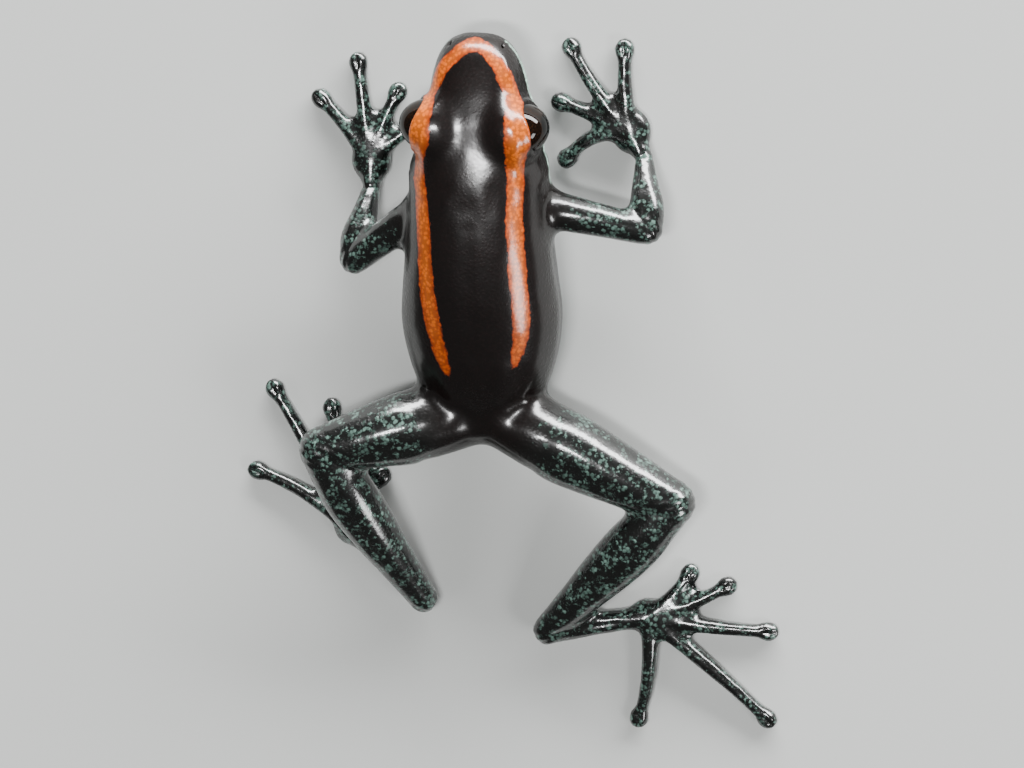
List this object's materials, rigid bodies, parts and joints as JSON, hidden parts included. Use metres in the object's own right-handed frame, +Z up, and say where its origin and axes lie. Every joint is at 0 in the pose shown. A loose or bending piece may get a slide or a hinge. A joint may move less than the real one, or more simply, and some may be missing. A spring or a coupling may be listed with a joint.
{
  "type": "golfodulcean poison frog",
  "caption": "Life-size poison frog in a climbing pose: black back with orange stripes from snout to hips, mottled grey-green limbs and belly, toes with small discs.",
  "frame": {"origin": "middle of the belly's flat, where the frog rests on the floor, on the body's mid-line", "axes": "+Z up from the floor, the frog faces -Y, so its right side is towards -X"},
  "size_m": [0.0332, 0.0441, 0.0079],
  "materials": {
    "skin": "moist semi-gloss skin, black above with orange stripes, limbs and belly mottled grey-green",
    "eye": "wet, very dark brown eye with a black pupil"
  },
  "bodies": {
    "root": {"head": "skin", "torso": "skin", "upper_arm_left": "skin", "forearm_left": "skin", "hand_left": "skin", "thigh_left": "skin", "shank_left": "skin", "tarsus_left": "skin", "foot_left": "skin", "eye_left": "eye", "upper_arm_right": "skin", "forearm_right": "skin", "hand_right": "skin", "thigh_right": "skin", "shank_right": "skin", "tarsus_right": "skin", "foot_right": "skin", "eye_right": "eye"}
  },
  "joints": []
}
